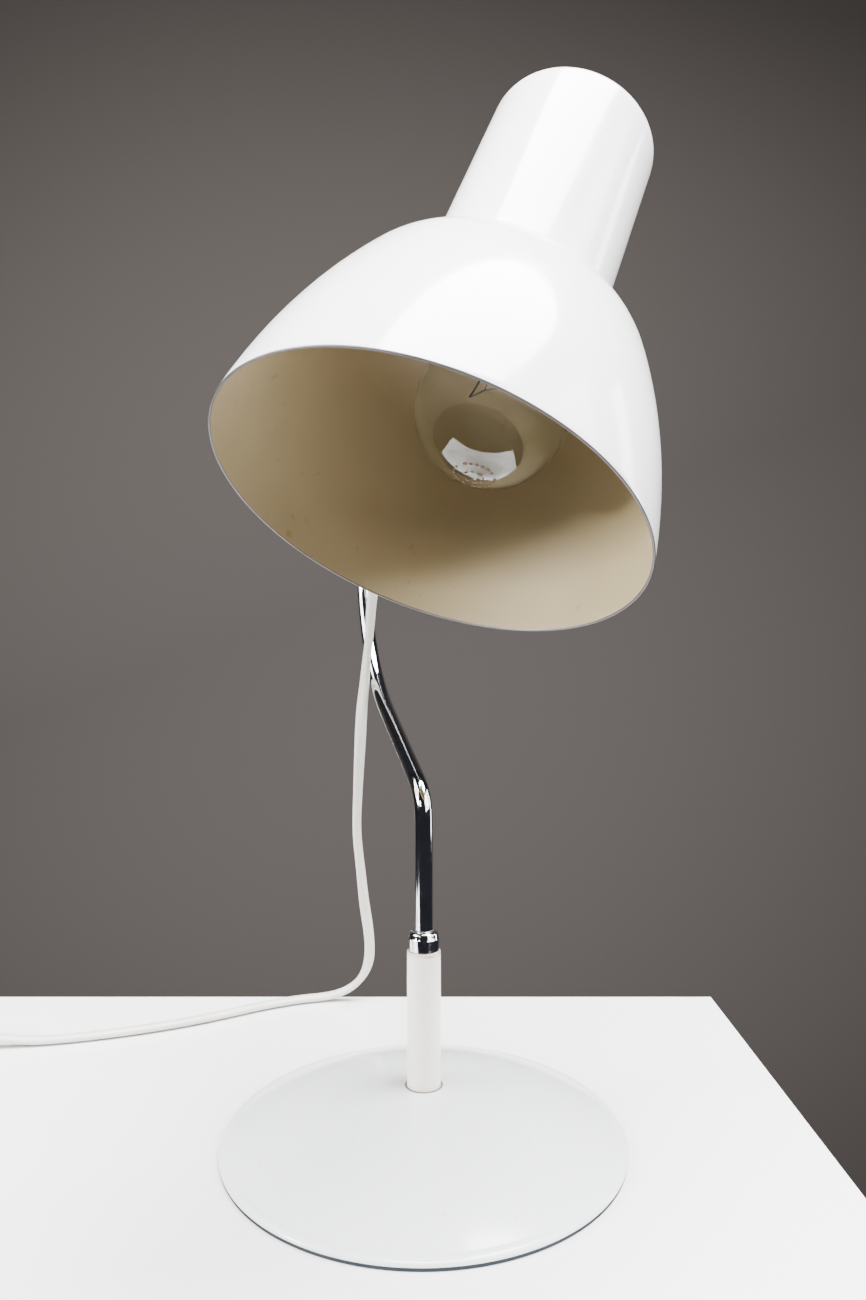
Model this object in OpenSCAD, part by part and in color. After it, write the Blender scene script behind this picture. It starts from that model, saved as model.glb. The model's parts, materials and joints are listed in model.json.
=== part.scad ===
// Desk lamp with a domed round base, a bowed tube arm and a bell shade on a two-way knuckle.
// Millimetres, +Z up, origin at the centre of the base's underside.
// The arm lies in a vertical plane that is turned arm_turn about Z.

/* [Base] */
// Diameter of the base
base_d = 190; // [170:5:210]
// Height of the base dome at its centre
base_h = 25.5; // [22:0.5:32]
// Thickness of the foot pad
pad_t = 1.8; // [1:0.2:3]
// Sheet thickness of the base shell
base_wall = 1.2; // [0.8:0.1:2]

/* [Column] */
// Outer diameter of the painted column
column_d = 16; // [14:0.5:20]
// Height of the column's top above the table
column_h = 89; // [75:1:110]
// Diameter of the chrome collar on the column
collar_d = 14.5; // [12:0.5:16]
// Height of the part of the collar that shows
collar_h = 9.4; // [6:0.2:14]

/* [Arm] */
// Outer diameter of the arm tube
arm_d = 8.5; // [8:0.1:9]
// Wall of the arm tube
arm_wall = 1; // [0.6:0.1:1.2]
// Turn of the arm's plane from straight back
arm_turn = 17.5; // [-40:0.5:40]
// Height where the upright stem starts to bend
stem_top = 152.3; // [140:0.1:170]
// Bend radius at the foot of the arm
elbow_r = 16; // [14:1:24]
// Slope of the straight run above the horizontal
arm_slope = 27.1; // [20:0.1:35]
// Length of the straight run
arm_run = 69.5; // [60:0.5:80]
// Radius of the arm's bow
bow_r = 98; // [94:1:102]
// Downward slope of the arm's end
end_slope = 22.3; // [18:0.1:26]

/* [Head] */
// Roll of the shade about the knuckle's swivel
roll = 31.24; // [20:0.01:40]
// Tilt of the shade about the hinge pin
tilt = -35.25; // [-45:0.01:-25]
// Rim diameter of the bell
rim_d = 165; // [155:1:170]
// Sheet thickness of the shade
shade_wall = 1; // [0.8:0.1:1.4]
// Outer diameter of the neck where it meets the bell
neck_d = 74.4; // [70:0.2:78]
// Outer diameter of the neck at its closed end
neck_end_d = 72.4; // [68:0.2:76]
// Distance from the rim to the neck's closed end
head_l = 200.8; // [185:0.1:215]
// Lean of the bulb and its holder from the shade's axis
bulb_lean = 5.6; // [0:0.1:7]

/* [Cord] */
// Diameter of the cord's solids
cord_d = 6; // [5:0.5:7]

/* [Hidden] */
$fn = 64;
base_r = base_d / 2;
edge_r = 3.7;
crease_z = 4.3;
dome_x = base_r - edge_r;
dome_rise = base_h - crease_z;
dome_r = (dome_x * dome_x + dome_rise * dome_rise) / (2 * dome_rise);
column_r = column_d / 2;
column_bore_r = column_r - 1;
column_foot = 3.2;
seal_w = 0.6;
arm_r = arm_d / 2;
arm_in_r = arm_r - arm_wall;
run_gap = 0.05;
stem_foot = 30.05;
elbow_turn = 90 - arm_slope;
nut_h = 5;

// arm points in its own plane: [distance back, height]
elbow_end = [elbow_r * (1 - cos(elbow_turn)), stem_top + elbow_r * sin(elbow_turn)];
run_end = elbow_end + arm_run * [cos(arm_slope), sin(arm_slope)];
bow_c = run_end + bow_r * [-sin(arm_slope), cos(arm_slope)];
bow_from = arm_slope - 90;
bow_to = 90 + end_slope;
arm_end = bow_c + bow_r * [cos(bow_to), sin(bow_to)];
exit_turn = 80;

// knuckle: distances along the swivel axis from the hinge pin
end_gap = 15.56;
hinge = arm_end - end_gap * [cos(end_slope), sin(end_slope)];
tube_stub = 0.5;
tube_foot = column_h + collar_h + 0.4;
ferrule_face = 12.06;
fork_face = 11.96;
fork_floor = 8;
hinge_r = 2;
ear_in = 3.6;
ear_out = 6.2;
ear_r = 7;
tongue_w = 7;
tongue_r = 6.5;
shank_r = 3.1;

// shade, in its own frame with the hinge pin at the origin and the axis along +Z
axis_y = -52.3;
rim_z = -112.2;
bell_a0 = 5.5;
bell_a1 = 25;
bell_r1 = 235;
bell_r2 = 39.3;
seam_t = 98.3;
end_round = 6;
rim_r = rim_d / 2;
seat_z = 46;
rivet_at = 30;
rivet_r = 1.6;
nipple_r = 5;
holder_r = 20;
holder_cap_l = 28.2;
terminal_x = 11;
globe_r = 30;
globe_z = 75;
shoulder = bell_point(bell_r1, rim_r, 0, bell_a0, bell_a1);
seam_z = rim_z + seam_t;
end_z = rim_z + head_l;

// a point on an arc that starts at [r0, t0] in the direction a0 and turns to a
function bell_point(r, r0, t0, a0, a) = [r0 + r * (cos(a) - cos(a0)), t0 + r * (sin(a) - sin(a0))];

// the bell's outline from rim to top: a long gentle arc, then the round shoulder
function bell_line(inset, top_a = 88) = concat(
    [for (i = [0 : 8]) bell_point(bell_r1, rim_r, 0, bell_a0, bell_a0 + (bell_a1 - bell_a0) * i / 8)
        - inset * [cos(bell_a0 + (bell_a1 - bell_a0) * i / 8), 0]],
    [for (i = [1 : 9]) let (a = bell_a1 + (top_a - bell_a1) * i / 9)
        bell_point(bell_r2, shoulder[0], shoulder[1], bell_a1, a) - inset * [cos(a), sin(a)]]);

// route of the cord, from the arm's underside to the table
drop_route = [
    [-12, 38, 366], [-12, 37, 354], [-14, 39, 340], [-16, 42, 325], [-19, 46, 310],
    [-22, 50, 295], [-24, 54, 281], [-27, 59, 268], [-29, 63, 256], [-30, 68, 245], [-31, 73, 234], [-33, 78, 223], [-34, 83, 211],
    [-36, 89, 199], [-37, 94, 187], [-38, 100, 175], [-39, 106, 163], [-40, 112, 151], [-41, 119, 138],
    [-42, 125, 126], [-42, 131, 112], [-41, 137, 98], [-40, 142, 84], [-39, 147, 69], [-37, 152, 54],
    [-36, 157, 38]];
floor_route = [
    [-36, 157, 37.7], [-37, 161, 26], [-42, 165, 15], [-51, 167, 7], [-63, 167, 3.1], [-77, 164, 3.1],
    [-92, 158, 3.1], [-107, 150, 3.1], [-121, 141, 3.1], [-136, 132, 3.1], [-151, 124, 3.1],
    [-167, 117, 3.1], [-183, 111, 3.1], [-199, 106, 3.1], [-215, 102, 3.1], [-230, 99, 3.5],
    [-243, 97, 5.5], [-255.7, 96, 7.5]];
lead_route = [
    [-312.3, 96, 7.5], [-324, 93, 6], [-335, 87, 5], [-343, 78, 4.3], [-348, 66, 4.3],
    [-350, 54, 4.3], [-350, 42, 4.3]];
tail_route = [
    [-326, -20, 10.6], [-319, -26, 9.6], [-309, -35, 8], [-298, -43, 7],
    [-286, -50, 7.4], [-273, -55, 8.3]];

coil_c = [-312.5, 20];
coil_in = 30.5;
coil_out = 44.5;
coil_h = 13.2;
coil_z = 0.9;
tie_t = 0.8;
switch_mid = -284;
switch_y = 96;
switch_l = 56;
switch_w = 22;
switch_h = 14;
switch_seam = 7.5;
rocker_z = 9;
rocker_lean = 7;
axle_r = 1.2;
plug_at = [-273, -55, 8.3];
plug_turn = -20;
relief_l = 20;
plug_l = 39;
pin_r = 2;
pin_side = 9.3;
pin_root = 30;
pin_face = 39.4;
pin_end = 56.5;
root_r = 1.6;

// ---- helpers ----

module ring(outer, inner, z0, z1) {
    difference() {
        translate([0, 0, z0]) cylinder(r = outer, h = z1 - z0);
        translate([0, 0, z0 - 1]) cylinder(r = inner, h = z1 - z0 + 2);
    }
}

// a ring whose axis runs along +Y
module ring_y(outer, inner, y0, y1) {
    rotate([-90, 0, 0]) ring(outer, inner, y0, y1);
}

// a ring whose axis runs along +X
module ring_x(outer, inner, x0, x1) {
    rotate([0, 90, 0]) ring(outer, inner, x0, x1);
}

// a rod between two points
module rod(a, b, r) {
    d = b - a;
    l = norm(d);
    translate(a) rotate([0, acos(d[2] / l), atan2(d[1], d[0])]) cylinder(r = r, h = l, $fn = 24);
}

module in_arm_plane() {
    rotate([0, 0, arm_turn]) children();
}

// swivel frame: origin at the hinge pin, +Y along the swivel towards the arm
module at_knuckle() {
    in_arm_plane() translate([0, hinge[0], hinge[1]]) rotate([end_slope, 0, 0]) children();
}

module at_fork() {
    at_knuckle() rotate([0, roll, 0]) children();
}

module at_head() {
    at_fork() rotate([tilt, 0, 0]) children();
}

module on_shade_axis() {
    at_head() translate([0, axis_y, 0]) children();
}

// seat of the bulb holder, inside the head's frame, leaning with the bulb
module at_seat() {
    translate([0, axis_y, seat_z]) rotate([0, -bulb_lean, 0]) children();
}

// bulb frame: origin at the bulb's contact, +Z towards the bulb's tip
module at_bulb() {
    at_head() at_seat() rotate([180, 0, 0]) translate([0, 0, holder_cap_l]) children();
}

// an arc of round bar or tube in the arm's plane
module bow(centre, radius, from, to, r, bore = 0) {
    translate([0, centre[0], centre[1]]) rotate([90, 0, 90]) rotate([0, 0, from])
        rotate_extrude(angle = to - from, $fn = 128) translate([radius, 0]) difference() {
            circle(r = r, $fn = 32);
            if (bore > 0) circle(r = bore, $fn = 32);
        }
}

function unit(v) = v / norm(v);

function sweep_dir(path, i) = let (n = len(path) - 1) unit(path[min(i + 1, n)] - path[max(i - 1, 0)]);

// one ring of the cord's surface; the first or last ring may be set level
function cord_ring(path, i, r, sides, level, ref) =
    let (t = level == i ? [0, 0, -1] : sweep_dir(path, i),
         side = unit(cross(t, ref)),
         up = cross(side, t))
    [for (k = [0 : sides - 1]) path[i] + r * (cos(360 * k / sides) * side + sin(360 * k / sides) * up)];

module cord_tube(path, r, ref, level = -1, sides = 8) {
    n = len(path);
    rings = [for (i = [0 : n - 1]) each cord_ring(path, i, r, sides, level, ref)];
    walls = [for (i = [0 : n - 2], k = [0 : sides - 1]) each let (
        a = i * sides + k, b = i * sides + (k + 1) % sides)
        [[a, b, b + sides], [a, b + sides, a + sides]]];
    ends = [[for (k = [sides - 1 : -1 : 0]) k], [for (k = [0 : sides - 1]) (n - 1) * sides + k]];
    polyhedron(points = rings, faces = concat(walls, ends), convexity = 6);
}

// ---- base ----

module base_outline(inset) {
    top_r = dome_r - inset;
    edge = base_r - inset;
    intersection() {
        translate([0, pad_t]) square([edge, base_h]);
        translate([0, crease_z + dome_rise - dome_r]) circle(r = top_r, $fn = 360);
        union() {
            square([edge - edge_r, base_h + 5]);
            translate([edge - edge_r, pad_t]) scale([1, (crease_z - pad_t) / edge_r])
                circle(r = edge_r, $fn = 48);
        }
    }
}

module foot_pad() {
    color("#20242c") cylinder(r = base_r - 1.4, h = pad_t, $fn = 128);
}

module base_shell() {
    color("#eceef0") rotate_extrude($fn = 128) difference() {
        base_outline(0);
        base_outline(base_wall);
        translate([-1, 0]) square([column_r + seal_w + 1, base_h + 5]);
    }
}

module ballast() {
    color("#3a3a3a") difference() {
        rotate_extrude($fn = 128) polygon([[0, pad_t + 0.2], [dome_x - 5, pad_t + 0.2],
            [dome_x - 5, 3.4], [60, 12.5], [30, 19], [12, 21.2], [0, 21.2]]);
        translate([0, 0, 1]) cylinder(r = column_r + run_gap, h = 30);
        cylinder(r = 14, h = column_foot + nut_h + 1.5);
    }
}

module column_seal() {
    color("#4b4038") ring(column_r + seal_w, column_r, base_h - 3.4, base_h - 0.5);
}

// ---- column ----

module column_tube() {
    color("#f1eddd") ring(column_r, column_bore_r, column_foot, column_h);
}

module column_washer() {
    color("#b9b9b4") ring(12.5, column_r + run_gap, column_foot + nut_h, column_foot + nut_h + 1.5);
}

module column_nut() {
    color("#c4c2bb") difference() {
        translate([0, 0, column_foot]) cylinder(r = 13, h = nut_h, $fn = 6);
        translate([0, 0, column_foot - 1]) cylinder(r = column_r, h = nut_h + 2);
    }
}

module column_collar() {
    r = collar_d / 2;
    top = column_h + collar_h;
    round_r = 2;
    color("#dfe2e6") rotate_extrude() difference() {
        union() {
            translate([0, column_h - 12]) square([column_bore_r, 12.5]);
            translate([0, column_h]) square([r, collar_h - round_r]);
            translate([0, top - round_r - 0.1]) square([r - round_r, round_r + 0.1]);
            translate([r - round_r, top - round_r]) circle(r = round_r, $fn = 32);
        }
        translate([-1, 0]) square([arm_r + run_gap + 1, top + 5]);
    }
}

module thrust_pad() {
    color("#e8e4d8") translate([0, 0, 24]) cylinder(r = column_bore_r, h = 6);
}

module lower_bush() {
    color("#e8e4d8") ring(column_bore_r, arm_r + run_gap, 30, 42);
}

// ---- arm ----

// points along the arm's centreline, each [distance back, height, direction above level]
arm_line = concat(
    [[0, tube_foot, 90]],
    [for (i = [0 : 6]) let (a = elbow_turn * i / 6)
        [elbow_r * (1 - cos(a)), stem_top + elbow_r * sin(a), 90 - a]],
    [for (i = [0 : 32]) let (a = bow_from + (bow_to - bow_from) * i / 32)
        [bow_c[0] + bow_r * cos(a), bow_c[1] + bow_r * sin(a), a + 90]],
    [[arm_end[0] - tube_stub * cos(end_slope), arm_end[1] - tube_stub * sin(end_slope), bow_to + 90]]);

function arm_ring(i, r, sides) = let (p = arm_line[i], d = p[2])
    [for (k = [0 : sides - 1]) let (a = 360 * k / sides)
        [r * cos(a), p[0] - r * sin(a) * sin(d), p[1] + r * sin(a) * cos(d)]];

module arm_tube() {
    sides = 20;
    n = len(arm_line);
    wall_r = [arm_r, arm_in_r];
    rings = [for (r = wall_r, i = [0 : n - 1]) each arm_ring(i, r, sides)];
    skin = [for (s = [0, 1], i = [0 : n - 2], k = [0 : sides - 1]) each let (
        a = (s * n + i) * sides + k, b = (s * n + i) * sides + (k + 1) % sides)
        s == 0 ? [[a, b + sides, b], [a, a + sides, b + sides]]
            : [[a, b, b + sides], [a, b + sides, a + sides]]];
    rims = [for (i = [0, n - 1], k = [0 : sides - 1]) each let (
        a = i * sides + k, b = i * sides + (k + 1) % sides, c = n * sides)
        i == 0 ? [[a, b, b + c], [a, b + c, a + c]] : [[a, b + c, b], [a, a + c, b + c]]];
    color("#d7dade") in_arm_plane() difference() {
        polyhedron(points = rings, faces = concat(skin, rims), convexity = 8);
        translate([0, bow_c[0], bow_c[1]]) rotate([exit_turn - 90, 0, 0])
            cylinder(r = 2.6, h = bow_r, $fn = 24);
    }
}

module stem_spindle() {
    color("#cfd3d6") {
        translate([0, 0, stem_foot]) cylinder(r = arm_r, h = tube_foot - stem_foot);
        translate([0, 0, tube_foot - 1]) cylinder(r = arm_in_r - 0.15, h = 19);
    }
}

module stem_clip() {
    color("#9a9a98") ring(6, arm_r, column_h - 14, column_h - 12.6);
}

module arm_ferrule() {
    y0 = end_gap - tube_stub;
    color("#dfe2e6") at_knuckle() difference() {
        rotate([-90, 0, 0]) translate([0, 0, ferrule_face]) cylinder(r = 5.5, h = 6);
        rotate([-90, 0, 0]) cylinder(r = 3, h = 30);
        rotate([-90, 0, 0]) translate([0, 0, y0]) cylinder(r = arm_r + 0.1, h = 10);
    }
}

module swivel_nipple() {
    color("#b9bcc0") at_knuckle() difference() {
        union() {
            rotate([-90, 0, 0]) translate([0, 0, fork_floor + 0.1]) cylinder(r = 4.4, h = 1.3);
            rotate([-90, 0, 0]) translate([0, 0, fork_floor + 1]) cylinder(r = 3, h = 10.5);
        }
        rotate([-90, 0, 0]) cylinder(r = 1.9, h = 30);
    }
}

// frame at the cord's way out, +Z pointing out of the tube's underside
module at_exit() {
    in_arm_plane() translate([0, bow_c[0], bow_c[1]]) rotate([exit_turn - 90, 0, 0])
        translate([0, 0, bow_r]) rotate([180, 0, 0]) children();
}

module cord_bush() {
    color("#2b2b2b") at_exit() difference() {
        union() {
            translate([0, 0, arm_in_r - 0.6]) cylinder(r = 2.5, h = 2.6);
            translate([0, 0, arm_r + 0.25]) cylinder(r = 4.2, h = 0.85);
        }
        cylinder(r = 1.8, h = 10);
    }
}

module cord_relief() {
    z0 = arm_r + 1.1;
    color("#e9e3cf") at_exit() difference() {
        translate([0, 0, z0]) cylinder(r1 = 4.8, r2 = 3.8, h = 22.5);
        translate([0, 0, z0 - 1]) cylinder(r = cord_d / 2, h = 26);
    }
}

module arm_wire() {
    color("#d8d2bf") in_arm_plane() {
        bow(bow_c, bow_r, exit_turn + 3, bow_to, 1.6);
        translate([0, arm_end[0], arm_end[1]]) rotate([90 + end_slope, 0, 0])
            cylinder(r = 1.6, h = 6, $fn = 24);
    }
}

// ---- knuckle ----

module knuckle_fork() {
    color("#c9cccf") at_fork() difference() {
        union() {
            rotate([-90, 0, 0]) translate([0, 0, fork_floor]) cylinder(r = ear_r, h = fork_face - fork_floor);
            for (s = [-1, 1]) {
                translate([s > 0 ? ear_in : -ear_out, 0, 0]) rotate([0, 90, 0])
                    cylinder(r = ear_r, h = ear_out - ear_in);
                translate([s > 0 ? ear_in : -ear_out, 0, -5]) cube([ear_out - ear_in, fork_floor + 1.5, 10]);
            }
        }
        rotate([-90, 0, 0]) cylinder(r = 3 + run_gap, h = 20);
        rotate([-90, 0, 0]) cylinder(r = 4.5, h = fork_floor + 1.5);
        translate([-20, 0, 0]) rotate([0, 90, 0]) cylinder(r = hinge_r, h = 40);
    }
}

module hinge_bolt() {
    color("#aeb1b5") at_fork() union() {
        translate([-11, 0, 0]) rotate([0, 90, 0]) cylinder(r = hinge_r, h = 17.5);
        translate([ear_out, 0, 0]) rotate([0, 90, 0]) cylinder(r = 4.2, h = 2.6);
    }
}

module spring_washer() {
    color("#8f9296") at_fork() ring_x(4, hinge_r, -ear_out - 1, -ear_out);
}

module hinge_nut() {
    color("#aeb1b5") at_fork() difference() {
        translate([-ear_out - 4, 0, 0]) rotate([0, 90, 0]) cylinder(r = 4.3, h = 3, $fn = 6);
        translate([-20, 0, 0]) rotate([0, 90, 0]) cylinder(r = hinge_r, h = 40);
    }
}

module knuckle_tongue() {
    color("#c9cccf") at_head() difference() {
        union() {
            translate([-tongue_w / 2, 0, 0]) rotate([0, 90, 0]) cylinder(r = tongue_r, h = tongue_w);
            rotate([90, 0, 0]) cylinder(r = shank_r, h = 23.8);
            rotate([90, 0, 0]) translate([0, 0, 12.4]) cylinder(r = 6.5, h = 2.6);
        }
        translate([-10, 0, 0]) rotate([0, 90, 0]) cylinder(r = hinge_r + run_gap, h = 20);
        rotate([90, 0, 0]) translate([0, 0, 7.5]) cylinder(r = 1.7, h = 20);
    }
}

// ---- head ----

module tongue_washer() {
    color("#b9b9b4") at_head() ring_y(6, shank_r, -17.75, -16.9);
}

module holder_bracket() {
    strip_y = -19.3;
    strip_t = 1.5;
    color("#b4b5b2") at_head() difference() {
        union() {
            translate([-7, strip_y, -8]) cube([14, strip_t, seat_z + 9.5]);
            at_seat() {
                translate([-7, 0, 0]) cube([14, strip_y - axis_y + 1, strip_t]);
                cylinder(r = 10, h = strip_t);
            }
        }
        rotate([90, 0, 0]) cylinder(r = shank_r, h = 30);
        at_seat() translate([0, 0, -2]) cylinder(r = nipple_r, h = 6);
    }
}

module tongue_nut() {
    color("#c4c2bb") at_head() difference() {
        rotate([90, 0, 0]) translate([0, 0, 19.3]) cylinder(r = 6.4, h = 3.6, $fn = 6);
        rotate([90, 0, 0]) cylinder(r = shank_r, h = 30);
    }
}

module neck_line(inset) {
    r0 = neck_d / 2 - inset;
    r1 = neck_end_d / 2 - inset;
    k = end_round - inset;
    z1 = end_z - inset;
    polygon(concat([[0, seam_z - 4], [r0, seam_z - 4], [r0, seam_z]],
        [for (i = [0 : 8]) [r1 - k + k * cos(90 * i / 8), z1 - k + k * sin(90 * i / 8)]],
        [[0, z1]]));
}

module neck_housing() {
    color("#eceef0") on_shade_axis() difference() {
        rotate_extrude($fn = 96) difference() {
            neck_line(0);
            neck_line(shade_wall);
            translate([0, seam_z - 10]) square([neck_d, 10]);
        }
        translate([0, -axis_y, 0]) rotate([90, 0, 0]) cylinder(r = shank_r, h = 30);
    }
}

module bell_shade() {
    outer = bell_line(0);
    inner = bell_line(shade_wall);
    n = len(inner);
    hole_r = outer[len(outer) - 1][0] - 1;
    color("#eceef0") on_shade_axis() translate([0, 0, rim_z]) difference() {
        rotate_extrude($fn = 128) polygon(concat(outer, [[hole_r, outer[len(outer) - 1][1]]],
            [[hole_r, inner[n - 1][1]]], [for (i = [n - 1 : -1 : 0]) inner[i]]));
        for (a = [0, 120, 240]) rotate([0, 0, a + 30]) translate([rivet_at, 0, 80]) cylinder(r = rivet_r, h = 40);
    }
}

module shade_ring() {
    color("#b4b5b2") on_shade_axis() difference() {
        ring(35.9, 26, rim_z + 99.8, rim_z + 103.3);
        for (a = [0, 120, 240]) rotate([0, 0, a + 30]) translate([rivet_at, 0, -60]) cylinder(r = rivet_r, h = 80);
    }
}

module ring_rivets() {
    color("#c9cccf") on_shade_axis() for (a = [0, 120, 240]) rotate([0, 0, a + 30])
        translate([rivet_at, 0, rim_z + 97]) {
            cylinder(r = rivet_r, h = 7.4);
            translate([0, 0, 6.3]) cylinder(r = 2.8, h = 1.2);
        }
}

module holder_nipple() {
    color("#c8b06a") at_head() at_seat() ring(nipple_r, nipple_r - 1.5, -5, 8);
}

module nipple_nut() {
    color("#c8b06a") at_head() at_seat() difference() {
        translate([0, 0, 1.5]) cylinder(r = 8, h = 3.2, $fn = 6);
        cylinder(r = nipple_r, h = 20);
    }
}

module holder_cap() {
    color("#26221f") at_bulb() rotate_extrude() polygon([[nipple_r, -holder_cap_l], [14, -holder_cap_l], [19, -24],
        [holder_r, -19], [holder_r, -8], [18.2, -8], [18.2, -18], [17, -22], [13, -26], [nipple_r, -26]]);
}

module holder_block() {
    color("#ece8dd") at_bulb() difference() {
        translate([0, 0, -12]) cylinder(r = 17.5, h = 8);
        for (s = [-1, 1]) translate([s * terminal_x, 0, -13]) cylinder(r = 1.6, h = 10);
    }
}

module holder_skirt() {
    color("#26221f") at_bulb() rotate_extrude() polygon([[17.6, -7.9], [holder_r, -7.9], [holder_r, 14], [18.6, 31],
        [15.4, 31], [15.4, 29.5], [16.4, 29.5], [16.4, 14], [17.6, 10]]);
}

module holder_thread() {
    color("#c8a850") at_bulb() ring(14, 13.3, -4, 26);
}

module holder_contacts() {
    color("#c8a850") at_bulb() {
        translate([-4, -2.5, -4]) cube([8, 5, 0.8]);
        translate([-2, -2.5, -3.4]) cube([4, 5, 3.3]);
    }
}

module terminal_screws() {
    color("#c8b06a") at_bulb() for (s = [-1, 1]) translate([s * terminal_x, 0, 0]) {
        translate([0, 0, -15]) cylinder(r = 2.8, h = 3);
        translate([0, 0, -12.5]) cylinder(r = 1.6, h = 8);
    }
}

module lamp_wires() {
    color("#d8d2bf") at_head() for (s = [-1, 1])
        cord_tube([[s * 1.2, -25, 0], [s * 5, -26.5, 4], [s * 9, -27.5, 14], [s * 9, -28, seat_z + 3],
            [s * 6, -36, seat_z + 9], [s * 1.5 - 0.8, -49, seat_z + 11]], 1, [1, 0, 0]);
}

// ---- bulb ----

module bulb_cap() {
    color("#c9c7bd") at_bulb() rotate_extrude() polygon([[0, 4.6], [9, 4.6], [13.1, 8], [13.1, 26],
        [12.4, 26], [12.4, 8.4], [8.6, 5.4], [0, 5.4]]);
}

module bulb_insulator() {
    color("#1d1b1a") at_bulb() rotate_extrude() polygon([[0, 1.5], [5, 1.5], [9, 4.5], [0, 4.5]]);
}

module bulb_contact() {
    color("#b9b6a8") at_bulb() cylinder(r1 = 3.6, r2 = 4.6, h = 1.4);
}

function glass_line(inset) = concat(
    [[12.3 - inset, 18], [12.3 - inset, 26.5], [14.2 - inset, 32], [17.6 - inset, 44]],
    [for (i = [0 : 9]) let (a = -38 + i * 14.2) [0, globe_z] + (globe_r - inset) * [cos(a), sin(a)]],
    [[0, globe_z + globe_r - inset]]);

module bulb_glass() {
    outer = glass_line(0);
    inner = glass_line(0.7);
    color("#dfe9ee", 0.35) at_bulb() rotate_extrude($fn = 96)
        polygon(concat(outer, [for (i = [len(inner) - 1 : -1 : 0]) inner[i]]));
}

module bulb_stem() {
    color("#dfe9ee", 0.5) at_bulb() rotate_extrude() polygon([[0, 20], [11.5, 20], [11.5, 22],
        [6, 28], [3, 36], [2.4, 52], [0, 54]]);
}

module bulb_wires() {
    color("#6d6a66") at_bulb() for (s = [-1, 1]) {
        rod([s * 1.2, 0, 51], [s * 11, 0, 76], 0.4);
        rod([s * 0.4, 0, 53.6], [s * 3.4, s * 1, 74.9], 0.3);
    }
}

module bulb_filament() {
    color("#4e4a46") at_bulb()
        cord_tube([[-11, 0, 76.5], [-3.4, -1, 75.6], [3.4, 1, 75.6], [11, 0, 76.5]], 0.5, [0, 0, 1]);
}

// ---- cord, switch and plug ----

module cord_drop() {
    color("#e9e3cf") cord_tube(drop_route, cord_d / 2, [1, 0, 0], len(drop_route) - 1);
}

module cord_floor() {
    color("#e9e3cf") cord_tube(floor_route, cord_d / 2, [0, 1, 0], 0);
}

module cord_lead() {
    color("#e9e3cf") cord_tube(lead_route, cord_d / 2, [0, 0, 1]);
}

module cord_tail() {
    color("#e9e3cf") cord_tube(tail_route, cord_d / 2, [0, 0, 1]);
}

module cord_coil() {
    color("#e9e3cf") translate([coil_c[0], coil_c[1], coil_z])
        rotate_extrude() translate([coil_in, 0]) square([coil_out - coil_in, coil_h]);
}

module cord_tie() {
    w = coil_out - coil_in + 0.5;
    color("#8d8f92") translate([coil_c[0], coil_c[1] - (coil_in + coil_out) / 2, coil_z + coil_h / 2])
        difference() {
            cube([6, w + 2 * tie_t, coil_h + 2 * tie_t], center = true);
            cube([8, w, coil_h], center = true);
        }
}

module switch_slab(z0, z1) {
    end_r = switch_w / 2;
    translate([switch_mid, switch_y, z0]) linear_extrude(z1 - z0) union() {
        square([switch_l - 2 * end_r, switch_w], center = true);
        for (s = [-1, 1]) translate([s * (switch_l / 2 - end_r), 0]) circle(r = end_r);
    }
}

// the room inside the switch's case
module switch_room(z0, h) {
    translate([switch_mid - switch_l / 2 + 8, switch_y - switch_w / 2 + 2, z0])
        cube([switch_l - 16, switch_w - 4, h]);
}

module switch_base() {
    color("#e4dcc4") difference() {
        switch_slab(0.1, switch_seam - 0.1);
        switch_room(1.4, 10);
    }
}

module switch_cover() {
    post = [6, 3.6, 5];
    color("#e4dcc4") difference() {
        union() {
            difference() {
                switch_slab(switch_seam, switch_h);
                switch_room(switch_seam - 0.5, switch_h - switch_seam - 1.2);
            }
            for (s = [-1, 1]) translate([switch_mid, switch_y + s * 7.4, switch_seam + 0.1 + post[2] / 2])
                cube(post, center = true);
        }
        translate([switch_mid - 8.3, switch_y - 5.3, 5]) cube([16.6, 10.6, 20]);
        translate([switch_mid, switch_y, rocker_z]) rotate([90, 0, 0])
            cylinder(r = axle_r + run_gap, h = 17, center = true);
    }
}

module switch_rocker() {
    color("#3b3936") translate([switch_mid, switch_y, rocker_z]) rotate([0, rocker_lean, 0]) {
        difference() {
            translate([-7.6, -5, 0.5]) cube([15.2, 10, 7]);
            translate([0, 6, 22]) rotate([90, 0, 0]) cylinder(r = 16, h = 12);
        }
        rotate([90, 0, 0]) cylinder(r = axle_r, h = 16, center = true);
    }
}

module switch_screws() {
    color("#aeb1b5") for (s = [-1, 1]) translate([switch_mid + s * 13, switch_y - 5, switch_h])
        cylinder(r = 2.2, h = 0.7);
}

module switch_contacts() {
    color("#c8a850") for (s = [-1, 1]) translate([switch_mid + s * 10, switch_y, 1.4]) {
        translate([-5, -3, 0]) cube([10, 6, 0.8]);
        translate([-s * 5 - 0.4, -2, 0]) cube([0.8, 4, 4]);
    }
}

module at_plug() {
    translate(plug_at) rotate([0, 0, plug_turn]) children();
}

module plug_relief() {
    color("#dcd5bf") at_plug() rotate([0, 90, 0]) cylinder(r1 = 3.2, r2 = 5, h = relief_l);
}

module plug_body() {
    color("#dcd5bf") at_plug() rotate([0, 90, 0]) difference() {
        union() {
            translate([0, 0, relief_l]) cylinder(r = 7.8, h = 8);
            translate([0, 0, plug_l - 12]) scale([0.62, 1, 1]) cylinder(r = 13, h = 12);
        }
        for (s = [-1, 1]) translate([0, s * pin_side, pin_root]) cylinder(r = root_r, h = 20);
    }
}

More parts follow.
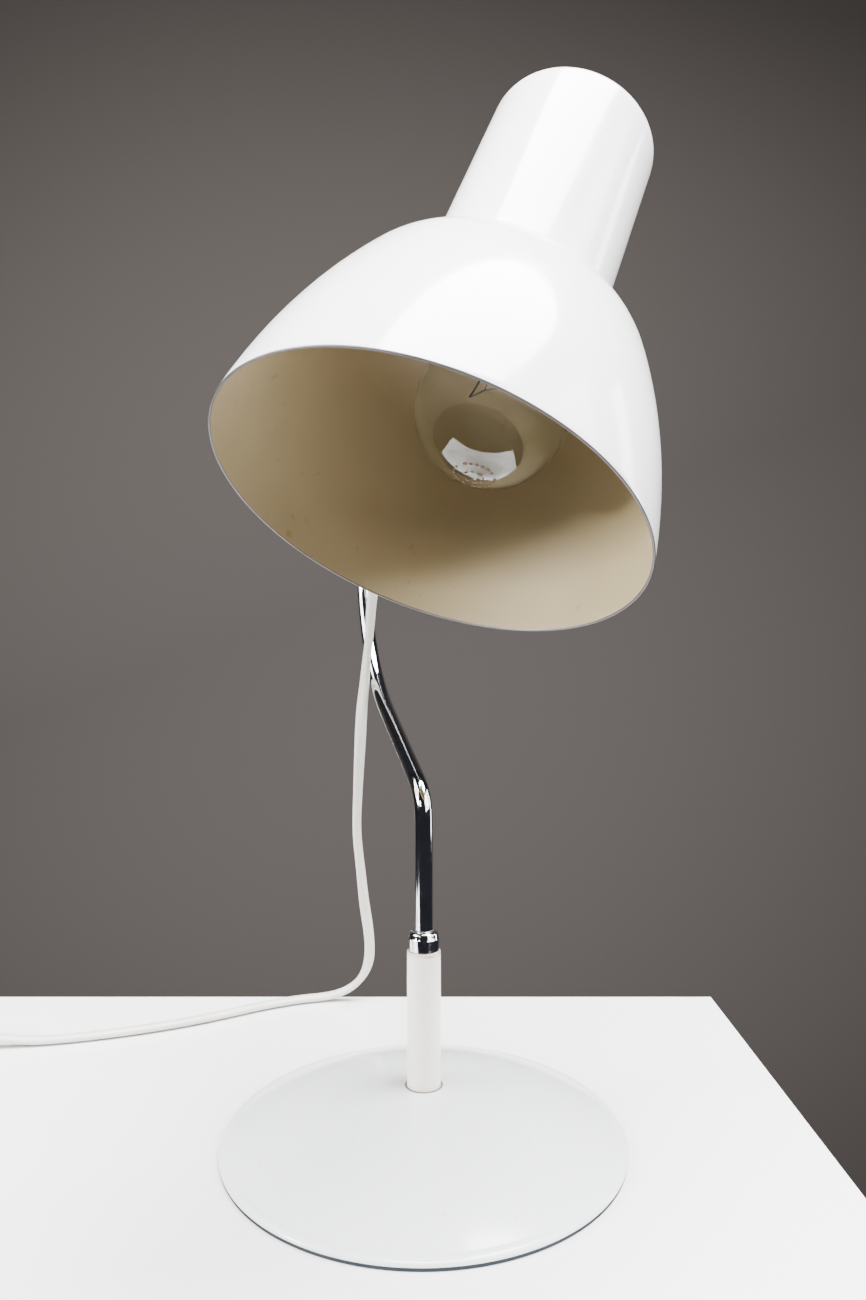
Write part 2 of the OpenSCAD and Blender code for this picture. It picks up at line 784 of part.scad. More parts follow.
module plug_pins() {
    color("#c8c6c0") at_plug() rotate([0, 90, 0]) for (s = [-1, 1]) translate([0, s * pin_side, 0]) {
        translate([0, 0, pin_root]) cylinder(r = root_r, h = pin_face - pin_root + 1);
        translate([0, 0, pin_face]) cylinder(r = pin_r, h = pin_end - pin_face);
        translate([0, 0, pin_end]) cylinder(r1 = pin_r, r2 = 1.1, h = 1.5);
    }
}

foot_pad();
base_shell();
ballast();
column_seal();
column_tube();
column_washer();
column_nut();
column_collar();
thrust_pad();
lower_bush();
stem_spindle();
arm_tube();
stem_clip();
arm_ferrule();
swivel_nipple();
cord_bush();
cord_relief();
arm_wire();
knuckle_fork();
hinge_bolt();
spring_washer();
hinge_nut();
knuckle_tongue();
tongue_washer();
holder_bracket();
tongue_nut();
neck_housing();
shade_ring();
ring_rivets();
bell_shade();
holder_nipple();
nipple_nut();
holder_cap();
holder_block();
holder_skirt();
holder_thread();
holder_contacts();
terminal_screws();
lamp_wires();
bulb_cap();
bulb_insulator();
bulb_contact();
bulb_glass();
bulb_stem();
bulb_wires();
bulb_filament();
cord_drop();
cord_floor();
switch_base();
switch_cover();
switch_rocker();
switch_screws();
switch_contacts();
cord_lead();
cord_coil();
cord_tie();
cord_tail();
plug_relief();
plug_body();
plug_pins();
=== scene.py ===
"""Desk lamp: high-resolution shells, cord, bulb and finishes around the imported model."""

import json
import math

import bmesh
import bpy
from mathutils import Matrix, Vector, noise


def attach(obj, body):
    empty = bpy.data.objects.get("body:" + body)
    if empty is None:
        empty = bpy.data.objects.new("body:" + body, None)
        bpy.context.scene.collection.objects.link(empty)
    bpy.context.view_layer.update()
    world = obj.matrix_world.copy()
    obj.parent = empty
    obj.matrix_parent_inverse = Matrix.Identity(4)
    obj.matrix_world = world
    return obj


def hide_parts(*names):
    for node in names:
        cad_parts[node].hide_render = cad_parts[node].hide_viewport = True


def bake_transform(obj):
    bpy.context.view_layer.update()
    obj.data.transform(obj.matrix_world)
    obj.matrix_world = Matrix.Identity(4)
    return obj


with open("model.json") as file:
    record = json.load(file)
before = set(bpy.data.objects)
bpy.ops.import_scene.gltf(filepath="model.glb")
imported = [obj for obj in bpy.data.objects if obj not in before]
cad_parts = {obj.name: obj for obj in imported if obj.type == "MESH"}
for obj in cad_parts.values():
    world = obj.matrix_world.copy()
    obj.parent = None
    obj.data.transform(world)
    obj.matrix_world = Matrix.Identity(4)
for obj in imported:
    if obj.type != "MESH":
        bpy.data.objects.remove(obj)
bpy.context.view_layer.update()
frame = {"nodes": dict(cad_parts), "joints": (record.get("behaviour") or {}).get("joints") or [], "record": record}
MM = 0.001

# ---- sizes and places of the CAD, in millimetres and radians ----

ARM_TURN = math.radians(17.5)
END_SLOPE = math.radians(22.3)
ROLL = math.radians(31.24)
TILT = math.radians(-35.25)
BULB_LEAN = math.radians(5.6)
BULB_DROP = 28.2
AXIS_Y = -52.3
RIM_Z = -112.2
SEAT_Z = 46.0
RIM_R = 82.5
SHADE_WALL = 1.0
HEAD_L = 200.8
SEAM_T = 98.3
NECK_R = 37.2
NECK_END_R = 36.2
NECK_ROUND = 6.0
BASE_R = 95.0
BASE_H = 25.5
PAD_T = 1.8
CREASE_Z = 4.3
EDGE_R = 3.7
COLUMN_R = 8.0
COLUMN_H = 89.0
COLLAR_R = 7.25
COLLAR_TOP = 98.4
ARM_R = 4.25
TUBE_FOOT = 98.8
STEM_TOP = 152.3
ELBOW_R = 16.0
ARM_SLOPE = math.radians(27.1)
ARM_RUN = 69.5
BOW_R = 98.0
TUBE_STUB = 0.5
# rounds of smoothing that turn the arm's tangent arcs into one soft bend
EASE_ROUNDS = 40
EXIT_TURN = math.radians(80)

joint_at = {j["name"]: Vector(j["pos_m"]) for j in frame["joints"]}
HINGE = joint_at["head_tilt"]


def turn(angle, axis):
    return Matrix.Rotation(angle, 4, axis)


ARM_FRAME = turn(ARM_TURN, "Z")
KNUCKLE_FRAME = Matrix.Translation(HINGE) @ ARM_FRAME @ turn(END_SLOPE, "X")
FORK_FRAME = KNUCKLE_FRAME @ turn(ROLL, "Y")
HEAD_FRAME = FORK_FRAME @ turn(TILT, "X")
SHADE_FRAME = HEAD_FRAME @ Matrix.Translation((0, AXIS_Y * MM, 0))
LEAN_FRAME = SHADE_FRAME @ Matrix.Translation((0, 0, SEAT_Z * MM)) @ turn(-BULB_LEAN, "Y")
BULB_FRAME = LEAN_FRAME @ turn(math.pi, "X") @ Matrix.Translation((0, 0, BULB_DROP * MM))


# ---- camera ----

CAMERA_AT = Vector((0.0043, -0.4467, 0.2376))
SENSOR = 36.0
LENS = 26.1138462
HORIZON_SHIFT = 0.01076923


def make_camera():
    data = bpy.data.cameras.new("camera")
    data.sensor_width = SENSOR
    data.lens = LENS
    data.shift_y = -HORIZON_SHIFT
    data.clip_start = 0.01
    cam = bpy.data.objects.new("camera", data)
    cam.location = CAMERA_AT
    cam.rotation_euler = (math.pi / 2, 0, 0)
    bpy.context.scene.collection.objects.link(cam)
    bpy.context.scene.camera = cam


make_camera()


# ---- materials ----

def new_material(name):
    m = bpy.data.materials.new(name)
    m.use_nodes = True
    return m, m.node_tree.nodes, m.node_tree.links, m.node_tree.nodes["Principled BSDF"]


def object_noise(nodes, links, scale, detail=3.0, rough=0.5, stretch=(1, 1, 1)):
    """Noise in the shared frame; returns its Fac output."""
    coord = nodes.new("ShaderNodeTexCoord")
    mapping = nodes.new("ShaderNodeMapping")
    mapping.inputs["Scale"].default_value = stretch
    tex = nodes.new("ShaderNodeTexNoise")
    tex.inputs["Scale"].default_value = scale
    tex.inputs["Detail"].default_value = detail
    tex.inputs["Roughness"].default_value = rough
    links.new(coord.outputs["Object"], mapping.inputs["Vector"])
    links.new(mapping.outputs["Vector"], tex.inputs["Vector"])
    return tex.outputs["Fac"]


def ramp(nodes, links, source, stops):
    node = nodes.new("ShaderNodeValToRGB")
    while len(node.color_ramp.elements) < len(stops):
        node.color_ramp.elements.new(0.5)
    for element, (at, colour) in zip(node.color_ramp.elements, stops):
        element.position = at
        element.color = (*colour, 1) if len(colour) == 3 else colour
    links.new(source, node.inputs["Fac"])
    return node.outputs["Color"]


def to_range(nodes, links, source, low, high, out_low, out_high):
    node = nodes.new("ShaderNodeMapRange")
    node.inputs["From Min"].default_value = low
    node.inputs["From Max"].default_value = high
    node.inputs["To Min"].default_value = out_low
    node.inputs["To Max"].default_value = out_high
    links.new(source, node.inputs["Value"])
    return node.outputs["Result"]


def mixed(nodes, links, factor, a, b):
    """Colour a where factor is 0 and b where it is 1; a and b are colours or outputs."""
    node = nodes.new("ShaderNodeMix")
    node.data_type = "RGBA"
    for value, socket in ((factor, node.inputs[0]), (a, node.inputs[6]), (b, node.inputs[7])):
        if isinstance(value, (int, float)):
            socket.default_value = value
        elif isinstance(value, tuple):
            socket.default_value = (*value, 1)
        else:
            links.new(value, socket)
    return node.outputs[2]


def bump(nodes, links, shader, height, strength, distance):
    node = nodes.new("ShaderNodeBump")
    node.inputs["Strength"].default_value = strength
    node.inputs["Distance"].default_value = distance
    links.new(height, node.inputs["Height"])
    links.new(node.outputs["Normal"], shader.inputs["Normal"])


def distance_to(nodes, links, point):
    """Distance from a point in the shared frame."""
    coord = nodes.new("ShaderNodeTexCoord")
    node = nodes.new("ShaderNodeVectorMath")
    node.operation = "DISTANCE"
    node.inputs[1].default_value = point
    links.new(coord.outputs["Object"], node.inputs[0])
    return node.outputs["Value"]


def height_above(nodes, links, origin, axis):
    """Distance of a point along an axis from an origin, both in the shared frame."""
    coord = nodes.new("ShaderNodeTexCoord")
    away = nodes.new("ShaderNodeVectorMath")
    away.operation = "SUBTRACT"
    away.inputs[1].default_value = origin
    along = nodes.new("ShaderNodeVectorMath")
    along.operation = "DOT_PRODUCT"
    along.inputs[1].default_value = axis
    links.new(coord.outputs["Object"], away.inputs[0])
    links.new(away.outputs["Vector"], along.inputs[0])
    return along.outputs["Value"]


def combine(nodes, links, operation, a, b):
    node = nodes.new("ShaderNodeMath")
    node.operation = operation
    for value, socket in ((a, node.inputs[0]), (b, node.inputs[1])):
        if isinstance(value, (int, float)):
            socket.default_value = value
        else:
            links.new(value, socket)
    return node.outputs["Value"]


def enamel(name, colour, aged, rough=(0.10, 0.2), speck=0.0, coat=0.3):
    """Sprayed gloss enamel: faint clouding, fine orange peel and a few specks of dirt."""
    m, nodes, links, shader = new_material(name)
    clouds = object_noise(nodes, links, 9, 4)
    tint = mixed(nodes, links, to_range(nodes, links, clouds, 0.35, 0.75, 0, 1), colour, aged)
    if speck:
        dots = object_noise(nodes, links, 420, 1)
        far = object_noise(nodes, links, 30, 2)
        mask = combine(nodes, links, "MULTIPLY", to_range(nodes, links, dots, 0.74, 0.78, 0, speck),
                       to_range(nodes, links, far, 0.5, 0.62, 0, 1))
        tint = mixed(nodes, links, mask, tint, (0.36, 0.30, 0.24))
    links.new(tint, shader.inputs["Base Color"])
    links.new(to_range(nodes, links, object_noise(nodes, links, 60, 5), 0.3, 0.7, *rough),
              shader.inputs["Roughness"])
    shader.inputs["Coat Weight"].default_value = coat
    shader.inputs["Coat Roughness"].default_value = 0.05
    shader.inputs["Specular IOR Level"].default_value = 0.5
    bump(nodes, links, shader, object_noise(nodes, links, 900, 2), 0.05, 0.0002)
    return m


def metal(name, colour, rough=(0.05, 0.14), dark=None, fine=2600, strength=0.03, stretch=(1, 1, 1)):
    """Bright or brushed metal with cloudy wear and fine marks."""
    m, nodes, links, shader = new_material(name)
    shader.inputs["Metallic"].default_value = 1.0
    clouds = object_noise(nodes, links, 55, 5, 0.6)
    tint = mixed(nodes, links, to_range(nodes, links, clouds, 0.4, 0.8, 0, 1), colour,
                 dark or tuple(c * 0.72 for c in colour))
    links.new(tint, shader.inputs["Base Color"])
    marks = object_noise(nodes, links, 180, 6, 0.7, stretch)
    links.new(to_range(nodes, links, marks, 0.3, 0.75, *rough), shader.inputs["Roughness"])
    bump(nodes, links, shader, object_noise(nodes, links, fine, 2, 0.5, stretch), strength, 0.0002)
    return m


def worn_chrome(name):
    """Bright plating, pitted brown at the arm's elbow."""
    m = metal(name, (0.74, 0.75, 0.77), (0.03, 0.12), (0.50, 0.50, 0.52))
    nodes, links = m.node_tree.nodes, m.node_tree.links
    shader = nodes["Principled BSDF"]
    clean = shader.inputs["Base Color"].links[0].from_socket
    elbow = (ARM_FRAME @ Vector((0, 0.3 * ELBOW_R * MM, (STEM_TOP + 0.7 * ELBOW_R) * MM)))[:]
    near = to_range(nodes, links, distance_to(nodes, links, elbow), 0.006, 0.02, 1, 0)
    pits = to_range(nodes, links, object_noise(nodes, links, 520, 3), 0.56, 0.64, 0, 0.85)
    links.new(mixed(nodes, links, combine(nodes, links, "MULTIPLY", near, pits), clean,
                    (0.30, 0.20, 0.13)), shader.inputs["Base Color"])
    return m


def column_paint(name):
    """Satin warm white, stained pink-brown in a thin line under the collar."""
    m = enamel(name, (0.82, 0.80, 0.75), (0.79, 0.755, 0.68), (0.22, 0.34), 0.6, 0.1)
    nodes, links = m.node_tree.nodes, m.node_tree.links
    shader = nodes["Principled BSDF"]
    clean = shader.inputs["Base Color"].links[0].from_socket
    up = height_above(nodes, links, (0, 0, 0), (0, 0, 1))
    top = to_range(nodes, links, up, (COLUMN_H - 2.2) * MM, (COLUMN_H - 0.8) * MM, 0, 1)
    patchy = to_range(nodes, links, object_noise(nodes, links, 140, 3), 0.3, 0.6, 0.25, 0.9)
    links.new(mixed(nodes, links, combine(nodes, links, "MULTIPLY", top, patchy), clean,
                    (0.50, 0.33, 0.26)), shader.inputs["Base Color"])
    return m


def plastic(name, colour, aged, rough=(0.28, 0.42), grain=1400, strength=0.08):
    """Moulded plastic, rubber or felt: slight clouding and a fine grain."""
    m, nodes, links, shader = new_material(name)
    clouds = object_noise(nodes, links, 30, 4)
    links.new(mixed(nodes, links, to_range(nodes, links, clouds, 0.3, 0.75, 0, 1), colour, aged),
              shader.inputs["Base Color"])
    links.new(to_range(nodes, links, object_noise(nodes, links, 150, 4), 0.3, 0.7, *rough),
              shader.inputs["Roughness"])
    bump(nodes, links, shader, object_noise(nodes, links, grain, 3), strength, 0.0003)
    return m


def clear_glass(name):
    """Lamp glass with a faint uneven tint."""
    m, nodes, links, shader = new_material(name)
    shader.inputs["Transmission Weight"].default_value = 1.0
    shader.inputs["Roughness"].default_value = 0.0
    shader.inputs["IOR"].default_value = 1.45
    clear = mixed(nodes, links, object_noise(nodes, links, 40, 2), (0.97, 0.98, 0.97), (0.92, 0.95, 0.93))
    links.new(clear, shader.inputs["Base Color"])
    return m


def lining(name):
    """Matt cream inside of the bell, darkened to brown deeper in as painted shade, with faint rust specks."""
    m, nodes, links, shader = new_material(name)
    axis = (SHADE_FRAME.to_3x3() @ Vector((0, 0, 1)))[:]
    rim_point = (SHADE_FRAME @ Vector((0, 0, RIM_Z * MM)))[:]
    depth = height_above(nodes, links, rim_point, axis)
    clouds = object_noise(nodes, links, 12, 4)
    near_rim = mixed(nodes, links, to_range(nodes, links, clouds, 0.3, 0.75, 0, 1),
                     (0.47, 0.385, 0.225), (0.41, 0.325, 0.18))
    # painted shade: the cream turns brown deeper inside the bell, where shade falls
    painted_shade_deep = mixed(nodes, links, to_range(nodes, links, clouds, 0.3, 0.75, 0, 1),
                 (0.27, 0.20, 0.095), (0.225, 0.162, 0.073))
    colour = mixed(nodes, links, to_range(nodes, links, depth, 0.02, 0.09, 0, 1), near_rim, painted_shade_deep)
    specks = combine(nodes, links, "MULTIPLY",
                     to_range(nodes, links, object_noise(nodes, links, 260, 1), 0.70, 0.76, 0, 0.4),
                     to_range(nodes, links, object_noise(nodes, links, 25, 2), 0.45, 0.58, 0, 1))
    links.new(mixed(nodes, links, specks, colour, (0.31, 0.19, 0.07)), shader.inputs["Base Color"])
    links.new(to_range(nodes, links, object_noise(nodes, links, 80, 5), 0.3, 0.7, 0.42, 0.58),
              shader.inputs["Roughness"])
    bump(nodes, links, shader, object_noise(nodes, links, 700, 3), 0.08, 0.0003)
    return m


MATERIALS = {
    "base_enamel": enamel("base_enamel", (0.62, 0.635, 0.645), (0.595, 0.61, 0.615),
                          (0.15, 0.24), 0.5, 0.15),
    "shade_enamel": enamel("shade_enamel", (0.875, 0.88, 0.88), (0.865, 0.86, 0.84), (0.12, 0.22), 0.4),
    "column_enamel": column_paint("column_enamel"),
    "lining": lining("bell_lining"),
    "bare_edge": metal("bare_edge", (0.17, 0.16, 0.165), (0.4, 0.6)),
    "chrome": worn_chrome("chrome"),
    "zinc_steel": metal("zinc_steel", (0.55, 0.56, 0.57), (0.22, 0.38)),
    "cast_iron": metal("cast_iron", (0.10, 0.10, 0.105), (0.6, 0.8), None, 700, 0.5),
    # a dark felt pad, made near-black so that it also serves as painted shadow under the base's edge
    "foot_felt": plastic("foot_felt", (0.004, 0.009, 0.014), (0.010, 0.017, 0.023),
                         (0.8, 0.95), 2600, 0.5),
    "dark_rubber": plastic("dark_rubber", (0.03, 0.027, 0.024), (0.06, 0.05, 0.04), (0.5, 0.7)),
    "grime": plastic("grime", (0.09, 0.06, 0.04), (0.20, 0.15, 0.10), (0.6, 0.8)),
    "nylon": plastic("nylon", (0.72, 0.69, 0.6), (0.66, 0.62, 0.52)),
    "brass": metal("brass", (0.62, 0.45, 0.18), (0.16, 0.32), (0.36, 0.25, 0.10)),
    "bakelite": plastic("bakelite", (0.016, 0.013, 0.011), (0.035, 0.026, 0.02),
                        (0.2, 0.34), 900, 0.03),
    "porcelain": plastic("porcelain", (0.72, 0.70, 0.64), (0.66, 0.63, 0.56),
                         (0.12, 0.2), 300, 0.03),
    "clear_glass": clear_glass("clear_glass"),
    "black_glass": plastic("black_glass", (0.008, 0.008, 0.008), (0.02, 0.018, 0.016), (0.1, 0.2)),
    "bulb_alloy": metal("bulb_alloy", (0.60, 0.585, 0.55), (0.2, 0.36)),
    "bulb_metal": metal("bulb_metal", (0.10, 0.095, 0.09), (0.35, 0.55)),
    "stamp": plastic("stamp", (0.13, 0.075, 0.04), (0.19, 0.11, 0.06), (0.6, 0.8)),
    "cord_pvc": plastic("cord_pvc", (0.57, 0.555, 0.515), (0.50, 0.485, 0.435), (0.30, 0.42), 500, 0.05),
    "tie_plastic": plastic("tie_plastic", (0.09, 0.09, 0.095), (0.13, 0.13, 0.13), (0.4, 0.55)),
    "switch_plastic": plastic("switch_plastic", (0.69, 0.655, 0.56), (0.62, 0.575, 0.46), (0.24, 0.36)),
    "rocker_plastic": plastic("rocker_plastic", (0.03, 0.026, 0.022), (0.05, 0.042, 0.034), (0.26, 0.4)),
    "pin_metal": metal("pin_metal", (0.62, 0.61, 0.57), (0.12, 0.3)),
}

for entry in frame["record"]["subparts"]:
    for slot in frame["nodes"][entry["node"]].material_slots or [None]:
        material = MATERIALS[entry["material_slot"]]
        if slot is None:
            frame["nodes"][entry["node"]].data.materials.append(material)
        else:
            slot.material = material


# ---- mesh helpers; sizes in millimetres, results in the shared frame ----

def make_object(name, verts, faces, place, materials, face_material=None, sharp=30):
    """A smooth-shaded object whose edges sharper than that many degrees stay crisp."""
    mesh = bpy.data.meshes.new(name)
    mesh.from_pydata([tuple(v) for v in verts], [], faces)
    mesh.validate()
    for m in materials:
        mesh.materials.append(MATERIALS[m])
    if face_material:
        for polygon, index in zip(mesh.polygons, face_material):
            polygon.material_index = index
    mesh.transform(place @ Matrix.Scale(MM, 4))
    bm = bmesh.new()
    bm.from_mesh(mesh)
    bmesh.ops.recalc_face_normals(bm, faces=bm.faces)
    for f in bm.faces:
        f.smooth = True
    for e in bm.edges:
        if len(e.link_faces) == 2 and e.calc_face_angle(0) > math.radians(sharp):
            e.smooth = False
    bm.to_mesh(mesh)
    bm.free()
    obj = bpy.data.objects.new(name, mesh)
    bpy.context.scene.collection.objects.link(obj)
    return obj


def finish_piece(obj, body, slot, *nodes):
    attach(obj, body)
    if nodes:
        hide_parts(*nodes)
    return obj


def lathe(name, outline, place, materials, spans=None, segments=128, closed=True, wobble=None):
    """Turns an outline of (radius, height) about the axis; spans gives each edge's material."""
    n = len(outline)
    verts = []
    for k in range(segments):
        a = 2 * math.pi * k / segments
        for i, (r, z) in enumerate(outline):
            grow = wobble(a, r, z) if wobble else 0.0
            verts.append(((r + grow) * math.cos(a), (r + grow) * math.sin(a), z))
    faces, index = [], []
    edges = n if closed else n - 1
    for k in range(segments):
        k2 = (k + 1) % segments
        for i in range(edges):
            j = (i + 1) % n
            if outline[i][0] < 1e-6 and outline[j][0] < 1e-6:
                continue
            faces.append((k * n + i, k2 * n + i, k2 * n + j, k * n + j))
            index.append(spans[i] if spans else 0)
    obj = make_object(name, verts, faces, place, materials, index)
    bm = bmesh.new()
    bm.from_mesh(obj.data)
    bmesh.ops.remove_doubles(bm, verts=bm.verts, dist=1e-6)
    bmesh.ops.dissolve_degenerate(bm, edges=bm.edges, dist=1e-7)
    bm.to_mesh(obj.data)
    bm.free()
    return obj


def arc(centre, radius, a0, a1, steps):
    """Points on an arc, angles in degrees."""
    return [(centre[0] + radius * math.cos(math.radians(a0 + (a1 - a0) * i / steps)),
             centre[1] + radius * math.sin(math.radians(a0 + (a1 - a0) * i / steps)))
            for i in range(steps + 1)]


def frames_along(path, reference):
    """A side and an up vector at each point, carried along without twist."""
    n = len(path)
    tangents = [(path[min(i + 1, n - 1)] - path[max(i - 1, 0)]).normalized() for i in range(n)]
    side = tangents[0].cross(reference).normalized()
    out = []
    for i, t in enumerate(tangents):
        side = (side - t * side.dot(t)).normalized()
        out.append((side, t.cross(side)))
    return out


def sweep(name, path, section, place, materials, reference=Vector((1, 0, 0)), bore=None):
    """Sweeps section(i) -> list of (side, up) offsets along path; a bore makes the tube hollow."""
    frames = frames_along(path, reference)
    rings = [[p + s * side + u * up for s, u in section(i)]
             for i, (p, (side, up)) in enumerate(zip(path, frames))]
    m, n = len(rings[0]), len(rings)
    verts = [v for ring in rings for v in ring]
    faces = [(i * m + k, i * m + (k + 1) % m, (i + 1) * m + (k + 1) % m, (i + 1) * m + k)
             for i in range(n - 1) for k in range(m)]
    if bore:
        start = len(verts)
        for i, (p, (side, up)) in enumerate(zip(path, frames)):
            verts += [p + s * bore * side + u * bore * up for s, u in unit_circle(m)]
        faces += [(start + i * m + k, start + (i + 1) * m + k, start + (i + 1) * m + (k + 1) % m,
                   start + i * m + (k + 1) % m) for i in range(n - 1) for k in range(m)]
        for i in (0, n - 1):
            faces += [(i * m + k, i * m + (k + 1) % m, start + i * m + (k + 1) % m, start + i * m + k)
                      for k in range(m)]
    else:
        faces += [tuple(range(m)), tuple((n - 1) * m + k for k in range(m))]
    return make_object(name, verts, faces, place, materials)


def unit_circle(n):
    return [(math.cos(2 * math.pi * k / n), math.sin(2 * math.pi * k / n)) for k in range(n)]


def round_section(radius, sides=32):
    ring = [(radius * s, radius * u) for s, u in unit_circle(sides)]
    return lambda i: ring


def smooth_path(points, step):
    """A Catmull-Rom curve through the points, with samples about step apart."""
    pts = [2 * points[0] - points[1], *points, 2 * points[-1] - points[-2]]
    out = []
    for i in range(1, len(pts) - 2):
        p0, p1, p2, p3 = pts[i - 1:i + 3]
        count = max(1, round((p2 - p1).length / step))
        for k in range(count):
            t = k / count
            out.append(0.5 * (2 * p1 + (p2 - p0) * t + (2 * p0 - 5 * p1 + 4 * p2 - p3) * t * t
                              + (3 * p1 - p0 - 3 * p2 + p3) * t ** 3))
    return out + [points[-1]]


def relaxed(points, rounds):
    """The points with small kinks evened out, ends kept."""
    for _ in range(rounds):
        inner = [(a + 2 * b + c) / 4 for a, b, c in zip(points, points[1:], points[2:])]
        points = [points[0], *inner, points[-1]]
    return points


# ---- cord: one oval twin lead from the arm to the plug ----

CORD_W = 6.5
CORD_T = 4.8
CORD_SIDE = Vector((0, 1, 0))
DROP_ROUTE = [
    (-12, 38, 366), (-12, 37, 354), (-14, 39, 340), (-16, 42, 325), (-19, 46, 310), (-22, 50, 295),
    (-24, 54, 281), (-27, 59, 268), (-29, 63, 256), (-30, 68, 245), (-31, 73, 234), (-33, 78, 223),
    (-34, 83, 211), (-36, 89, 199), (-37, 94, 187), (-38, 100, 175), (-39, 106, 163), (-40, 112, 151),
    (-41, 119, 138), (-42, 125, 126), (-42, 131, 112), (-41, 137, 98), (-40, 142, 84), (-39, 147, 69),
    (-37, 152, 54), (-36, 157, 38)]
FLOOR_ROUTE = [
    (-37, 161, 26), (-42, 165, 15), (-51, 167, 7), (-63, 167, 3.1), (-77, 164, 3.1), (-92, 158, 3.1),
    (-107, 150, 3.1), (-121, 141, 3.1), (-136, 132, 3.1), (-151, 124, 3.1), (-167, 117, 3.1),
    (-183, 111, 3.1), (-199, 106, 3.1), (-215, 102, 3.1), (-230, 99, 3.5), (-243, 97, 5.5),
    (-256, 96, 7.5)]
SWITCH_ROUTE = [(-270, 96, 7.5), (-284, 96, 7.5), (-298, 96, 7.5)]
LEAD_ROUTE = [
    (-312, 96, 7.5), (-324, 93, 6), (-335, 87, 5), (-343, 78, 4.3), (-348, 66, 4.3), (-350, 54, 4.3)]
TAIL_ROUTE = [(-319, -26, 9.6), (-309, -35, 8), (-298, -43, 7), (-286, -50, 7.4), (-273, -55, 8.3)]
# where the lead runs into the coil's lower layer
LEAD_END_Y = 40
COIL_C = Vector((-312.5, 20, 0))
COIL_TURNS = 4
COIL_IN = 34.0
COIL_OUT = 41.0
COIL_LOW = 3.6
COIL_HIGH = 10.0
TURN_STEPS = 24
# how many turns in the cord starts to move inward, up and outward again, and over what share of a turn
INWARD_AT = 0.8
RISE_AT = 1.8
BACK_AT = 2.8
CROSS_SHARE = 0.4
# the cord lies flat below the first height and turns freely the second distance above it
FLAT_BELOW = 12
TURN_RANGE = 60


def eased(value):
    """0 below 0 and 1 above 1, with a soft run between."""
    return 0.5 - 0.5 * math.cos(math.pi * min(1, max(0, value)))


def coil_route():
    """Two turns wide and two high, entering at the left of the lower layer."""
    points = []
    start, end = math.pi, math.pi + 2 * math.pi * COIL_TURNS + math.radians(72)
    steps = round((end - start) / (2 * math.pi) * TURN_STEPS)
    for i in range(steps + 1):
        a = start + (end - start) * i / steps
        turns = (a - start) / (2 * math.pi)
        inward = eased((turns - INWARD_AT) / CROSS_SHARE)
        back = eased((turns - BACK_AT) / CROSS_SHARE)
        rise = eased((turns - RISE_AT) / CROSS_SHARE)
        r = COIL_OUT - (COIL_OUT - COIL_IN) * (inward - back)
        z = COIL_LOW + (COIL_HIGH - COIL_LOW) * rise
        points.append(Vector((COIL_C.x + r * math.cos(a), COIL_C.y + r * math.sin(a), z)))
    return points


def vectors(rows):
    return [Vector(row) for row in rows]


def cord_path():
    """The whole cord's centreline, from the arm to the plug."""
    free = vectors(DROP_ROUTE + FLOOR_ROUTE + SWITCH_ROUTE + LEAD_ROUTE)
    meets_coil = Vector((COIL_C.x - COIL_OUT, LEAD_END_Y, COIL_LOW))
    return relaxed(smooth_path([*free, meets_coil, *coil_route(), *vectors(TAIL_ROUTE)], 4.0), 6)


def oval_twin(width, thick, sides=20):
    """A flat twin lead's section: two round cores side by side with a shallow groove between."""
    out = []
    for c, s in unit_circle(sides):
        waist = 1 - 0.16 * math.exp(-((c / 0.22) ** 2))
        out.append((0.5 * width * c, 0.5 * thick * s * waist))
    return out


def cord_section(path):
    """The twin lead turns slowly about its own line where it hangs and lies flat where it rests."""
    base = oval_twin(CORD_W, CORD_T)
    lengths = [0.0]
    for a, b in zip(path, path[1:]):
        lengths.append(lengths[-1] + (b - a).length)
    level = []
    frames = frames_along(path, CORD_SIDE)
    for i, (side, up) in enumerate(frames):
        flat = side.cross(up).cross(Vector((0, 0, 1)))
        a = math.atan2(flat.dot(up), flat.dot(side))
        while level and a - level[-1] > math.pi / 2:
            a -= math.pi
        while level and a - level[-1] < -math.pi / 2:
            a += math.pi
        level.append(a)

    def section(i):
        hang = min(1, max(0, (path[i].z - FLAT_BELOW) / TURN_RANGE))
        hang = hang * hang * (3 - 2 * hang)
        a = hang * (1.9 * math.sin(lengths[i] / 62 + 0.4) + 0.7) + (1 - hang) * level[i]
        return [(s * math.cos(a) - u * math.sin(a), s * math.sin(a) + u * math.cos(a)) for s, u in base]
    return section


def make_cord():
    """One swept tube for the whole cord, from the arm down to the table and on to the plug; the CAD's cord pieces
    are hidden.
    """
    path = cord_path()
    obj = sweep("mains_cord", path, cord_section(path), Matrix.Identity(4), ["cord_pvc"],
                CORD_SIDE)
    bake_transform(obj)
    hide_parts("cord_drop", "cord_floor", "cord_lead", "cord_coil", "cord_tail")
    return obj, [p * MM for p in path]


cord, cord_line = make_cord()


def make_relief():
    """Tapered strain relief with fine collars where the lead leaves the arm."""
    place = ARM_FRAME @ Matrix.Translation(BOW_C3) @ turn(EXIT_TURN - math.pi / 2, "X") \
        @ Matrix.Translation((0, 0, BOW_R * MM)) @ turn(math.pi, "X")
    z0, length, bore = ARM_R + 1.1, 22.5, 3.0
    outer = []
    steps = 90
    for i in range(steps + 1):
        t = i / steps
        r = 4.8 - 1.0 * t - (0.28 if 0.18 < t < 0.9 and (t * 9) % 1 > 0.55 else 0)
        outer.append((r, z0 + length * t))
    outline = [(bore + 0.3, z0)] + outer + [(bore + 0.4, z0 + length)]
    obj = lathe("strain_relief", outline, place, ["cord_pvc"], segments=48)
    return finish_piece(obj, "arm", "cord_pvc", "cord_relief")


def arm_plane(s, z):
    """A point in the plane that the arm is bent in."""
    return Vector((0, s, z))


